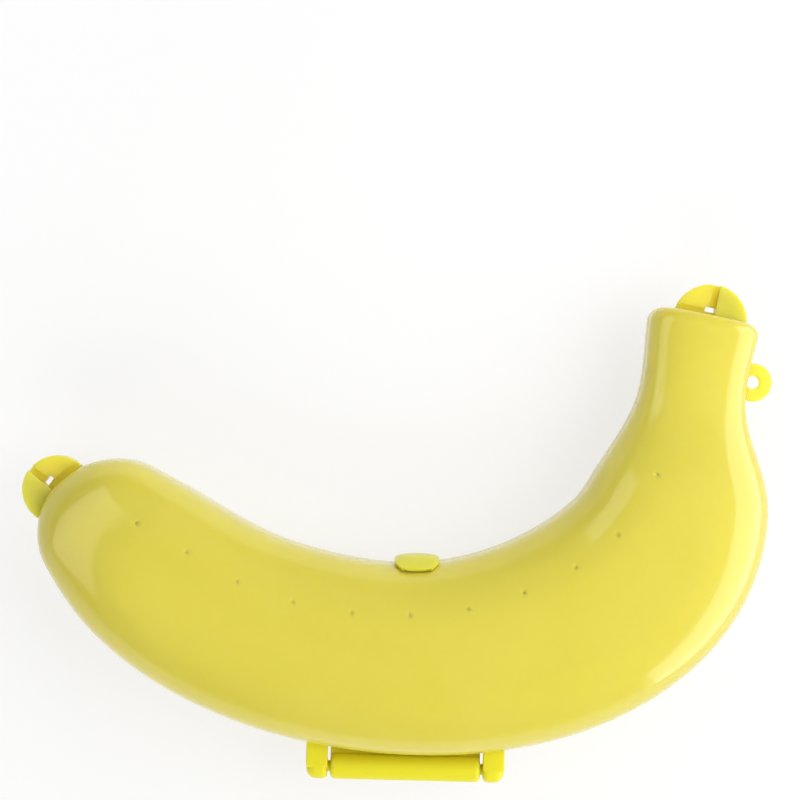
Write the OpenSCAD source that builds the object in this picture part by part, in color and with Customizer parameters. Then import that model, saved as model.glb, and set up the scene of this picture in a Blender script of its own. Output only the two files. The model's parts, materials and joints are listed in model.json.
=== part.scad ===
// Hard carrying case for one banana: two hinged half shells that follow the bend of the fruit, thumb tabs
// at both ends, a sprung latch on the inside of the bend and a ring beside the stem to hang the case by.
// The case lies on its rear shell: +X along the hinge, +Y to the inside of the bend, +Z to the front.
// The spine is the middle line of the body. It starts over the hinge and runs left to the tip, right to the stem.

/* [Spine] */
// Spine length from the hinge to the tip end
tip_reach = 112; // [106:1:118]
// Spine length from the hinge to the swell behind the tip
swell_reach = 80; // [72:1:88]
// Spine length from the hinge to the left flank
flank_reach = 40; // [30:1:50]
// Spine length from the hinge to the bulge before the bend
bulge_reach = 60; // [52:1:68]
// Spine length from the hinge to the shoulder after the bend
shoulder_reach = 96; // [90:1:102]
// Spine length from the hinge to the narrowest part of the neck
neck_reach = 122; // [116:1:128]
// Spine length from the hinge to the stem end
stem_reach = 147; // [140:1:154]
// Turn of the spine at the tip end, in degrees from the hinge line
tip_turn = 48; // [42:1:54]
// Turn of the spine at the swell, in degrees
swell_turn = 39; // [34:1:44]
// Turn of the spine at the left flank, in degrees
flank_turn = 18; // [14:1:22]
// Turn of the spine at the bulge, in degrees
bulge_turn = 37; // [32:1:42]
// Turn of the spine at the shoulder, in degrees
shoulder_turn = 80; // [74:1:84]
// Turn of the spine at the neck, in degrees
neck_turn = 84; // [78:1:88]
// Turn of the spine at the stem end, in degrees
stem_turn = 80; // [74:1:86]

/* [Body widths] */
// Body width at the tip end, before the end is rounded
tip_w = 32; // [31:0.5:38]
// Body width at the swell
swell_w = 48; // [44:0.5:52]
// Body width at the left flank
flank_w = 52; // [48:0.5:56]
// Body width over the hinge
belly_w = 53; // [48:0.5:58]
// Body width at the bulge
bulge_w = 57; // [52:0.5:62]
// Body width at the shoulder
shoulder_w = 50; // [46:0.5:54]
// Body width at the neck
neck_w = 30; // [28:0.5:34]
// Body width at the stem end
stem_w = 31; // [28:0.5:34]

/* [Shells] */
// Depth of one shell, from the parting plane to its flat crown
shell_depth = 22.5; // [19:0.5:26]
// Height that is trimmed off the crown, which leaves a flat to lie on
crown_trim = 0.6; // [0.3:0.1:1.2]
// Depth of one shell at the tip end, before the end is rounded
tip_depth = 15; // [12:0.5:18]
// Depth of one shell at the shoulder
shoulder_depth = 21.5; // [18:0.5:25]
// Depth of one shell at the neck
neck_depth = 13.5; // [11:0.5:16]
// Depth of one shell at the stem end
stem_depth = 13.5; // [11:0.5:16]
// Wall thickness of both shells
wall = 1.6; // [1.2:0.1:2.2]
// Height of the upright band along each rim
rim_band = 3; // [2.6:0.1:4]
// Gap between the two rims
rim_gap = 0.3; // [0.2:0.1:0.5]
// Radius that rounds the tip end
tip_round = 14; // [10:0.5:15]
// Radius that rounds the stem end
stem_round = 4; // [3:0.5:6]
// Fullness of the section: 2 is an ellipse, more is squarer
section_power = 2.3; // [2:0.1:2.8]

/* [Locating lip] */
// Thickness of the lip
lip_t = 1; // [0.8:0.1:1.4]
// Depth that the lip reaches into the rear shell
lip_drop = 1.8; // [1:0.1:2.4]
// Clearance between the lip and the rear shell
lip_clear = 0.35; // [0.3:0.05:0.6]

/* [Vents] */
// Diameter of a vent hole
vent_d = 1.4; // [1:0.1:2.4]
// Number of vent holes in each shell
vent_count = 11; // [5:1:11]
// Distance from hole to hole along the row
vent_pitch = 16; // [12:0.2:16.4]
// Spine length from the hinge to the first hole
vent_reach = 88; // [84:1:92]
// Distance of the row from the spine at the swell
vent_swell = 10.5; // [6:0.5:13]
// Distance of the row from the spine at the left flank
vent_flank = 12; // [8:0.5:15]
// Distance of the row from the spine over the hinge
vent_belly = 14; // [10:0.5:17]
// Distance of the row from the spine at the bulge
vent_bulge = 15.5; // [11:0.5:18]
// Distance of the row from the spine at the shoulder
vent_shoulder = 11; // [6:0.5:13]

/* [Hinge] */
// Diameter of the hinge barrel and ears
barrel_d = 7.2; // [6:0.1:8]
// Length of the barrel
barrel_len = 42; // [30:0.5:46]
// Length of one ear
ear_len = 6; // [4.5:0.5:8]
// Gap between the barrel and each ear
ear_gap = 0.7; // [0.6:0.1:2]
// Radius that rounds the outer end of an ear
ear_round = 2.8; // [1:0.1:2.8]
// Radius that rounds the barrel's ends and the inner end of an ear
barrel_round = 1.5; // [0.3:0.1:1.6]
// Clearance between the barrel and the body
barrel_clear = 0.8; // [0.3:0.1:1]
// Diameter of the hinge pin
pin_d = 3; // [2:0.1:3.6]
// Radial clearance of the pin in the barrel
pin_play = 0.05; // [0.02:0.01:0.1]
// Depth of the pin in each ear
pin_seat = 3.5; // [2.5:0.5:4]

/* [Latch] */
// Spine length from the hinge to the middle of the latch
latch_reach = 2.5; // [0:0.5:6]
// Width of the latch tongue
latch_w = 12.5; // [10:0.5:15]
// Radius that rounds the tongue's root, seen from the front
latch_bow_r = 8; // [7.6:0.1:12]
// Distance that the tongue stands off the body
latch_proud = 2.4; // [2.2:0.1:3.2]
// Thickness of the tongue
latch_t = 1; // [0.8:0.1:1.2]
// Height of the tongue's root above the parting plane
latch_rise = 12; // [11:0.5:15]
// Height where the tongue starts to lean in to its root
latch_knee = 6; // [4:0.5:7]
// Depth that the tongue reaches below the parting plane
latch_drop = 5; // [4.6:0.1:6]
// Radius of the rounded root that the tongue bends about
latch_root_r = 0.9; // [0.7:0.1:1.2]
// Clearance between the tongue and the shells
latch_clear = 0.3; // [0.2:0.05:0.4]
// Height of the bead and of the catch
catch_h = 1.2; // [0.8:0.1:1.4]
// Distance that the catch stands off the rear shell
catch_proud = 0.7; // [0.5:0.1:0.8]
// Width of the catch
catch_w = 9; // [6:0.5:10]

/* [Thumb tabs] */
// Radius of the tip tab
tip_tab_r = 9.5; // [8.5:0.5:11]
// Radius of the stem tab
stem_tab_r = 10.2; // [9:0.2:12]
// Distance of the tip tab's centre from the spine, to the outside of the bend
tip_tab_side = 3.7; // [2:0.1:5]
// Distance of the stem tab's centre from the spine, to the outside of the bend
stem_tab_side = 1.5; // [0:0.1:3]
// Distance that the tip tab's centre is set back from the tip end
tip_tab_back = 0.7; // [0:0.1:2]
// Distance that the stem tab's centre is set back from the stem end
stem_tab_back = 1.1; // [0:0.1:2]
// Turn of the tip tab against the spine, in degrees
tip_tab_turn = 10; // [0:1:14]
// Thickness of a tab
tab_t = 2.4; // [1.8:0.1:2.6]
// Height of the rear tab's raised half above the parting plane
pad_rise = 1.2; // [0.8:0.1:2]
// Distance of the raised half from the front shell
pad_gap = 2; // [1:0.1:3]
// Width of the slot between the halves of a tab
slot_w = 1.8; // [1.2:0.1:2.6]
// Distance of the window from the tip tab's centre
tip_window = 2.6; // [1.5:0.1:4]
// Distance of the window from the stem tab's centre
stem_window = 2.4; // [1.5:0.1:4]
// Width of the window at the foot of the slot
window_w = 2.8; // [2.6:0.1:4.5]
// Length of the window at the foot of the slot
window_l = 1.4; // [1.2:0.1:3]

/* [Hanging ring] */
// Spine length from the hinge to the ring
ring_reach = 130.5; // [126:0.5:132]
// Diameter of the ring
ring_d = 10.8; // [9:0.2:13]
// Diameter of the hole in the ring
ring_hole_d = 3.6; // [3:0.1:5]
// Thickness of the ring
ring_t = 2.6; // [2:0.1:2.8]
// Material between the hole and the body
ring_land = 0.4; // [0.3:0.1:1.5]

/* [Hidden] */
$fn = 48;

shell_colour = [0.87, 0.82, 0.32];
solid_colour = [0.85, 0.80, 0.17];
pin_colour = [0.80, 0.75, 0.20];

// Stations of the spine: place, turn, half width, depth and distance of the vent row
full_depth = shell_depth + crown_trim;
stations = [
    [-tip_reach, -tip_turn, tip_w / 2, tip_depth, 0],
    [-swell_reach, -swell_turn, swell_w / 2, full_depth, vent_swell],
    [-flank_reach, -flank_turn, flank_w / 2, full_depth, vent_flank],
    [0, 0, belly_w / 2, full_depth, vent_belly],
    [bulge_reach, bulge_turn, bulge_w / 2, full_depth, vent_bulge],
    [shoulder_reach, shoulder_turn, shoulder_w / 2, shoulder_depth, vent_shoulder],
    [neck_reach, neck_turn, neck_w / 2, neck_depth, 0],
    [stem_reach, stem_turn, stem_w / 2, stem_depth, 0]
];
TURN = 1;
HALF_WIDTH = 2;
DEPTH = 3;
VENT_ROW = 4;

// Steps of the skin along the body, round each end and over the half section, and steps of the spine's sum
body_steps = 40;
end_steps = 5;
section_steps = 16;
spine_steps = 40;
// Overlap that makes a cut or a joined piece pass clean through a face
over = 1;

// Value of one column at a place along the spine, on a smooth curve through the stations
function slope(i, column) =
    let (a = max(i - 1, 0), b = min(i + 1, len(stations) - 1))
    (stations[b][column] - stations[a][column]) / (stations[b][0] - stations[a][0]);
function span_at(s, i = 0) =
    i == len(stations) - 2 || s < stations[i + 1][0] ? i : span_at(s, i + 1);
function along(column, s) =
    let (
        i = span_at(s),
        h = stations[i + 1][0] - stations[i][0],
        t = (s - stations[i][0]) / h,
        ease = t * t * (3 - 2 * t)
    )
    stations[i][column] * (1 - ease) + stations[i + 1][column] * ease
    + h * t * (1 - t) * ((1 - t) * slope(i, column) - t * slope(i + 1, column));

// Direction of the spine, the direction to the inside of the bend, and the spine's own points
function direction(s) = [cos(along(TURN, s)), sin(along(TURN, s))];
function inward(s) = [-sin(along(TURN, s)), cos(along(TURN, s))];
function spine_point(s) =
    let (h = s / spine_steps)
    [for (i = [1 : spine_steps]) h] * [for (i = [1 : spine_steps]) direction(h * (i - 0.5))];
function turn_rate(s) = (along(TURN, s + over) - along(TURN, s - over)) / (2 * over) * PI / 180;

// Places of the skin's rings, each with the distance that the end's rounding takes off its sides
function ring_places(o) =
    let (
        tip_r = tip_round + o,
        stem_r = stem_round + o,
        first = tip_round - tip_reach,
        last = stem_reach - stem_round
    )
    concat(
        [for (i = [end_steps : -1 : 1]) let (a = 90 * i / end_steps)
            [first - tip_r * sin(a), tip_r * (1 - cos(a))]],
        [for (i = [0 : body_steps]) [first + (last - first) * i / body_steps, 0]],
        [for (i = [1 : end_steps]) let (a = 90 * i / end_steps)
            [last + stem_r * sin(a), stem_r * (1 - cos(a))]]
    );

// Points of one half ring, offset outwards by o, from the inside of the bend over the crown to the outside
function half_ring(place, o) =
    let (
        s = place[0],
        full_w = along(HALF_WIDTH, s) + o,
        w = full_w - place[1],
        d = rim_band + (along(DEPTH, s) + o - rim_band) * w / full_w,
        middle = spine_point(s),
        across = inward(s),
        profile = concat(
            [[w, rim_gap / 2]],
            [for (j = [0 : section_steps]) let (a = 180 * j / section_steps)
                [w * sign(cos(a)) * pow(abs(cos(a)), 2 / section_power),
                    min(rim_band + (d - rim_band) * pow(sin(a), 2 / section_power), shell_depth + o)]],
            [[-w, rim_gap / 2]]
        )
    )
    [for (q = profile) [middle[0] + across[0] * q[0], middle[1] + across[1] * q[0], q[1]]];
ring_len = section_steps + 3;

// Edge of the body at the parting plane, on the inside (side 1) or the outside (side -1) of the bend
function edge_point(s, side, o = 0) = spine_point(s) + side * (along(HALF_WIDTH, s) + o) * inward(s);

// Triangles of a strip between two runs of points, and of a ring of points closed on itself
function flat_list(rows) = [for (row = rows) for (item = row) item];
function quad(a, b, c, d) = [[a, c, b], [a, d, c]];
function grid_faces(rows, columns, start, turned) = flat_list([
    for (i = [0 : rows - 2]) for (j = [0 : columns - 2])
        let (a = start + i * columns + j, b = a + columns)
        turned ? quad(a, b, b + 1, a + 1) : quad(a, a + 1, b + 1, b)
]);

// Half shell over the parting plane: outer skin, inner skin, rim and the two end walls
module half_shell() {
    outer_rings = [for (p = ring_places(0)) half_ring(p, 0)];
    inner_rings = [for (p = ring_places(-wall)) half_ring(p, -wall)];
    rows = len(outer_rings);
    count = rows * ring_len;
    last = ring_len - 1;
    polyhedron(
        points = concat(flat_list(outer_rings), flat_list(inner_rings)),
        faces = concat(
            grid_faces(rows, ring_len, 0, false),
            grid_faces(rows, ring_len, count, true),
            flat_list([for (i = [0 : rows - 2]) let (a = i * ring_len, b = a + ring_len)
                concat(quad(a, b, b + count, a + count),
                    quad(a + last, a + last + count, b + last + count, b + last))]),
            [[for (j = [0 : last]) j]],
            [[for (j = [last : -1 : 0]) count + j]],
            [[for (j = [last : -1 : 0]) count - ring_len + j]],
            [[for (j = [0 : last]) 2 * count - ring_len + j]],
            quad(0, count, count + last, last),
            quad(count - ring_len, count - 1, 2 * count - 1, 2 * count - ring_len)
        )
    );
}

// Solid body between two places of the spine, offset outwards by o, that fittings are cut to lie against
module body_block(from, to, o = 0) {
    rings = [for (p = ring_places(o)) if (p[0] >= from && p[0] <= to)
        let (half = half_ring(p, o))
        concat(half, [for (j = [ring_len - 1 : -1 : 0]) [half[j][0], half[j][1], -half[j][2]]])];
    rows = len(rings);
    loop = 2 * ring_len;
    // Each end face fans out from a point of the curved flank, which is in line with no two others
    flank = 1 + section_steps / 4;
    polyhedron(
        points = flat_list(rings),
        faces = concat(
            grid_faces(rows, loop, 0, false),
            flat_list([for (i = [0 : rows - 2]) let (a = i * loop, b = a + loop)
                quad(a + loop - 1, a, b, b + loop - 1)]),
            [[for (j = [0 : loop - 1]) (j + flank) % loop]],
            [[for (j = [loop : -1 : 1]) (rows - 1) * loop + (j + flank) % loop]]
        )
    );
}

// Equal steps along the vent row, which is shorter than the spine where it lies inside the bend
vent_places = [
    for (i = 0, s = -vent_reach; i < vent_count;
        s = s + vent_pitch / (1 - along(VENT_ROW, s) * turn_rate(s)), i = i + 1) s
];
module vent_holes() {
    for (s = vent_places) {
        translate(spine_point(s) + along(VENT_ROW, s) * inward(s))
            cylinder(d = vent_d, h = shell_depth + over);
    }
}

// Hinge line and the frame's origin, under the middle of the whole case
barrel_r = barrel_d / 2;
pin_r = pin_d / 2;
hinge_y = -belly_w / 2 - barrel_clear - barrel_r;
ear_start = barrel_len / 2 + ear_gap;
hinge_reach = ear_start + ear_len;
tip_tab_angle = 180 - tip_turn + tip_tab_turn;
tip_tab_centre = spine_point(-tip_reach) + tip_tab_back * direction(-tip_reach)
    - tip_tab_side * inward(-tip_reach);
stem_tab_centre = spine_point(stem_reach) - stem_tab_back * direction(stem_reach)
    - stem_tab_side * inward(stem_reach);
ring_centre = edge_point(ring_reach, -1, ring_hole_d / 2 + ring_land);
outline = [for (p = ring_places(0)) for (side = [-1, 1]) edge_point(p[0], side, -p[1])];
low_x = min(tip_tab_centre[0] - tip_tab_r, min([for (p = outline) p[0]]));
high_x = max(ring_centre[0] + ring_d / 2, max([for (p = outline) p[0]]));
low_y = hinge_y - barrel_r;
high_y = stem_tab_centre[1] + stem_tab_r;
module placed() {
    translate([-(low_x + high_x) / 2, -(low_y + high_y) / 2, shell_depth]) children();
}

// Turns a shape that was made along Z so that it runs along X
module along_x() {
    rotate([0, 90, 0]) children();
}

module rear_shell() {
    color(shell_colour) placed() mirror([0, 0, 1]) difference() {
        half_shell();
        vent_holes();
    }
}

module front_shell() {
    color(shell_colour) placed() difference() {
        half_shell();
        vent_holes();
    }
}

// Lip that stands inside the front rim and centres the rear shell when the case closes
module locating_lip() {
    foot = -wall;
    outer = foot - lip_clear;
    inner = outer - lip_t;
    profile = [[foot, rim_gap / 2], [foot, rim_band], [inner, rim_band],
        [inner, -lip_drop], [outer, -lip_drop], [outer, rim_gap / 2]];
    columns = len(profile);
    count = len(ring_places(0));
    points = [
        for (side = [1, -1]) for (k = [0 : count - 1]) for (q = profile)
            let (p = ring_places(q[0])[side > 0 ? k : count - 1 - k], e = edge_point(p[0], side, q[0] - p[1]))
            [e[0], e[1], q[1]]
    ];
    color(shell_colour) placed() polyhedron(
        points = points,
        faces = flat_list([
            for (i = [0 : 2 * count - 1]) for (j = [0 : columns - 1])
                let (n = (i + 1) % (2 * count), m = (j + 1) % columns)
                quad(i * columns + j, i * columns + m, n * columns + m, n * columns + j)
        ])
    );
}

// Knuckle along +Z, with its near and its far end rounded over by the given radii
module knuckle(length, near_round, far_round) {
    rotate_extrude() intersection() {
        square([barrel_r, length]);
        union() {
            translate([0, near_round]) square([barrel_r, length - near_round - far_round]);
            square([barrel_r - max(near_round, far_round), length]);
            translate([barrel_r - near_round, near_round]) circle(r = near_round);
            translate([barrel_r - far_round, length - far_round]) circle(r = far_round);
        }
    }
}

module hinge_ear(side) {
    color(solid_colour) placed() difference() {
        union() {
            translate([side * ear_start, hinge_y, 0]) rotate([0, side * 90, 0])
                knuckle(ear_len, barrel_round, ear_round);
            translate([side > 0 ? ear_start : -hinge_reach, hinge_y, rim_gap])
                cube([ear_len, barrel_d + barrel_r, barrel_r - rim_gap]);
        }
        translate([side * (ear_start - over), hinge_y, 0]) rotate([0, side * 90, 0])
            cylinder(r = pin_r, h = pin_seat + over);
        body_block(-2 * hinge_reach, 2 * hinge_reach);
    }
}

module left_hinge_ear() {
    hinge_ear(-1);
}

module right_hinge_ear() {
    hinge_ear(1);
}

module hinge_barrel() {
    color(solid_colour) placed() difference() {
        union() {
            translate([-barrel_len / 2, hinge_y, 0]) along_x() knuckle(barrel_len, barrel_round, barrel_round);
            translate([-barrel_len / 2, hinge_y, -barrel_r])
                cube([barrel_len, barrel_d + barrel_r, barrel_r - rim_gap]);
        }
        translate([-barrel_len / 2 - over, hinge_y, 0]) along_x()
            cylinder(r = pin_r + pin_play, h = barrel_len + 2 * over);
        body_block(-2 * hinge_reach, 2 * hinge_reach);
    }
}

module hinge_pin() {
    reach = ear_start + pin_seat;
    color(pin_colour) placed() translate([-reach, hinge_y, 0]) along_x() cylinder(r = pin_r, h = 2 * reach);
}

// Frame of the latch: X along the body's edge, Y off the body, Z to the front, at the parting plane
module at_latch() {
    translate(edge_point(latch_reach, 1)) rotate(along(TURN, latch_reach)) children();
}

// Side of the latch tongue as [off the body, height], extruded over the tongue's width
module latch_side(width, outline) {
    translate([-width / 2, 0, 0]) rotate([90, 0, 90]) linear_extrude(width) polygon(outline);
}

// Distance of the body's skin from its edge at a height above the parting plane, negative towards the spine
function skin_at(height) =
    let (w = along(HALF_WIDTH, latch_reach), d = along(DEPTH, latch_reach) - rim_band)
    w * pow(1 - pow((height - rim_band) / d, section_power), 1 / section_power) - w;
latch_lean = atan(skin_at(latch_rise - over) - skin_at(latch_rise));
latch_root_y = skin_at(latch_rise) + (latch_root_r + latch_clear) / cos(latch_lean);

module latch_tongue() {
    back = latch_proud - latch_t;
    bead = catch_proud + latch_clear;
    color(solid_colour) placed() at_latch() intersection() {
        difference() {
            union() {
                translate([-latch_w / 2, latch_root_y, latch_rise]) along_x() cylinder(r = latch_root_r, h = latch_w);
                latch_side(latch_w, [
                    [latch_root_y, latch_rise], [latch_root_y, latch_rise + latch_root_r],
                    [latch_proud, latch_knee], [latch_proud, -latch_drop],
                    [bead, -latch_drop], [bead, catch_h / 2 - latch_drop],
                    [back, catch_h - latch_drop], [back, 0]
                ]);
            }
            rotate(-along(TURN, latch_reach)) translate(-edge_point(latch_reach, 1))
                body_block(-2 * latch_w, 2 * latch_w, latch_clear);
        }
        translate([0, latch_root_y - latch_root_r + latch_bow_r, -latch_drop - over])
            cylinder(r = latch_bow_r, h = latch_drop + latch_rise + latch_root_r + 2 * over);
    }
}

// Ridge on the rear shell that the bead of the tongue passes
module latch_catch() {
    color(solid_colour) placed() difference() {
        at_latch() latch_side(catch_w, [
            [-wall, -rim_gap], [catch_proud / 2, -rim_gap], [catch_proud, -rim_gap - catch_h / 2],
            [catch_proud, -rim_gap - catch_h], [-wall, -rim_gap - catch_h]
        ]);
        body_block(-2 * catch_w, 2 * catch_w);
    }
}

// Frame of a thumb tab: X out of the end, Y to the tab's rear half, origin at the tab's centre
module at_tab(centre, angle, side) {
    translate(centre) rotate(angle) mirror([0, side > 0 ? 0 : 1, 0]) children();
}

// Half of the tab's disc, on the rear half (side 1) or the front half (side -1), beside the slot
module half_disc(r, side, bottom, top) {
    translate([0, 0, bottom]) intersection() {
        cylinder(r = r, h = top - bottom);
        translate([-r, side > 0 ? slot_w / 2 : -r, 0]) cube([2 * r, r - slot_w / 2, top - bottom]);
    }
}

// Window through the foot of the slot, which runs from the slot's front side under the rear half
module tab_window(foot) {
    translate([foot, -slot_w / 2, -tab_t - over]) cube([window_l, window_w, 2 * (tab_t + over)]);
}

module rear_tab(centre, angle, side, r, foot, from, to) {
    color(solid_colour) placed() difference() {
        union() {
            difference() {
                at_tab(centre, angle, side) translate([0, 0, -rim_gap / 2 - tab_t]) cylinder(r = r, h = tab_t);
                body_block(from, to);
            }
            difference() {
                at_tab(centre, angle, side) half_disc(r, 1, -rim_gap / 2, pad_rise);
                body_block(from, to, pad_gap);
            }
        }
        at_tab(centre, angle, side) tab_window(foot);
    }
}

module front_tab(centre, angle, side, r, foot, from, to) {
    color(solid_colour) placed() difference() {
        at_tab(centre, angle, side) difference() {
            half_disc(r, -1, rim_gap / 2, rim_gap / 2 + tab_t);
            tab_window(foot);
        }
        body_block(from, to);
    }
}

// Stretch of the body that the tabs are cut against
tip_from = -tip_reach - 2 * pad_gap;
tip_to = -tip_reach + 2 * tip_round;
stem_from = stem_reach - 2 * stem_tab_r;
stem_to = stem_reach + 2 * pad_gap;

module rear_tip_tab() {
    rear_tab(tip_tab_centre, tip_tab_angle, -1, tip_tab_r, tip_window, tip_from, tip_to);
}

module front_tip_tab() {
    front_tab(tip_tab_centre, tip_tab_angle, -1, tip_tab_r, tip_window, tip_from, tip_to);
}

module rear_stem_tab() {
    rear_tab(stem_tab_centre, stem_turn, 1, stem_tab_r, stem_window, stem_from, stem_to);
}

module front_stem_tab() {
    front_tab(stem_tab_centre, stem_turn, 1, stem_tab_r, stem_window, stem_from, stem_to);
}

module hang_ring() {
    edge_r = ring_t / 4;
    color(solid_colour) placed() difference() {
        translate([ring_centre[0], ring_centre[1], -rim_gap / 2 - ring_t]) difference() {
            rotate_extrude() {
                square([ring_d / 2 - edge_r, ring_t]);
                translate([0, edge_r]) square([ring_d / 2, ring_t - 2 * edge_r]);
                translate([ring_d / 2 - edge_r, edge_r]) circle(r = edge_r);
                translate([ring_d / 2 - edge_r, ring_t - edge_r]) circle(r = edge_r);
            }
            translate([0, 0, -over]) cylinder(d = ring_hole_d, h = ring_t + 2 * over);
        }
        body_block(ring_reach - 2 * ring_d, ring_reach + 2 * ring_d);
    }
}

rear_shell();
hinge_barrel();
rear_tip_tab();
rear_stem_tab();
hang_ring();
latch_catch();
front_shell();
locating_lip();
left_hinge_ear();
right_hinge_ear();
hinge_pin();
front_tip_tab();
front_stem_tab();
latch_tongue();
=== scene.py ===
import json
import math

import bmesh
import bpy
from bpy.props import FloatProperty, FloatVectorProperty, IntProperty, PointerProperty
from mathutils import Matrix, Vector


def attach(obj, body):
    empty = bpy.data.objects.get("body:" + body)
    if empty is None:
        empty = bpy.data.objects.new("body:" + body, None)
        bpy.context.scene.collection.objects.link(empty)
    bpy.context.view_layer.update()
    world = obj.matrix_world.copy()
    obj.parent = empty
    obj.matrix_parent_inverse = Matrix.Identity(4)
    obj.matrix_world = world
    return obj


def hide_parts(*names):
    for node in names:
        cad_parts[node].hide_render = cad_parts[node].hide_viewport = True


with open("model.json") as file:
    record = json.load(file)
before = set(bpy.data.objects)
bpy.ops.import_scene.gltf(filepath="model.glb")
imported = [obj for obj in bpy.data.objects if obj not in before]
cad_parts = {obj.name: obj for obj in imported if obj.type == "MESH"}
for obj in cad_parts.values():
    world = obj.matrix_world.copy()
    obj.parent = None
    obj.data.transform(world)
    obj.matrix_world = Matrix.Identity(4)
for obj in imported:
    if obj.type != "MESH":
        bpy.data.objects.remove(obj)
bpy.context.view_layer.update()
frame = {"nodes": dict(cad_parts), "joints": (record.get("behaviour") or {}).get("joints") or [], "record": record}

bl_info = {
    "name": "Banana Carrying Case",
    "version": (1, 0, 0),
    "blender": (4, 5, 0),
    "location": "3D View > Sidebar > Banana Case",
    "description": "Models the moulded pieces of a hinged banana case over its solid parts",
    "category": "Add Mesh",
}

JOINTS = {joint["name"]: joint for joint in frame["joints"]}

# Stations of the spine, the middle line of the body, counted from the point over the hinge:
# place, turn in degrees, half width, depth of one shell, distance of the vent row
STATIONS = (
    (-0.112, -48.0, 0.0160, 0.0150, 0.0),
    (-0.080, -39.0, 0.0240, 0.0231, 0.0105),
    (-0.040, -18.0, 0.0260, 0.0231, 0.0120),
    (0.000, 0.0, 0.0265, 0.0231, 0.0140),
    (0.060, 37.0, 0.0285, 0.0231, 0.0155),
    (0.096, 80.0, 0.0250, 0.0215, 0.0110),
    (0.122, 84.0, 0.0150, 0.0135, 0.0),
    (0.147, 80.0, 0.0155, 0.0135, 0.0),
)
PLACE, TURN, HALF_WIDTH, DEPTH, VENT_ROW = range(5)
SPINE_STEPS = 40

FRONT, REAR = 1, -1

# Small lengths of the modelling: space between faces that would coincide, length that a bore's tool
# stands out, clearance of the pin in the barrel, reach of a vent's tool to both sides of the skin
HAIR = 0.00003
BORE_OVER = 0.001
PIN_CLEAR = 0.00005
DRILL_REACH = 0.003

# Small roundings and blends of the fittings
WEB_ROUND = 0.0004
LIP_CHAMFER = 0.0004
TONGUE_BEND = 0.0025
TONGUE_ROUND = 0.0003
BEAD_ROUND = 0.00015
BEAD_SINK = 0.0003

# Camera: sensor width in millimetres, distance from the parting plane, width of the view there
SENSOR_WIDTH = 36.0
CAMERA_DISTANCE = 0.6
VIEW_WIDTH = 0.2245


def length(name, text, size):
    """Length property in metres"""
    return FloatProperty(name=name, description=text, default=size, min=0.0, unit="LENGTH", precision=5)


def turn(name, text, degrees):
    """Angle property"""
    return FloatProperty(name=name, description=text, default=math.radians(degrees), subtype="ANGLE")


def paint(name, text, red, green, blue):
    """Colour property, written as it shows on a screen"""
    return FloatVectorProperty(
        name=name, description=text, subtype="COLOR", size=3, min=0.0, max=1.0,
        default=linear(red, green, blue)
    )


def linear(red, green, blue):
    """Screen colour of 0 to 255 as linear light"""
    shares = [channel / 255 for channel in (red, green, blue)]
    return tuple(s / 12.92 if s <= 0.04045 else ((s + 0.055) / 1.055) ** 2.4 for s in shares)


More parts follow.
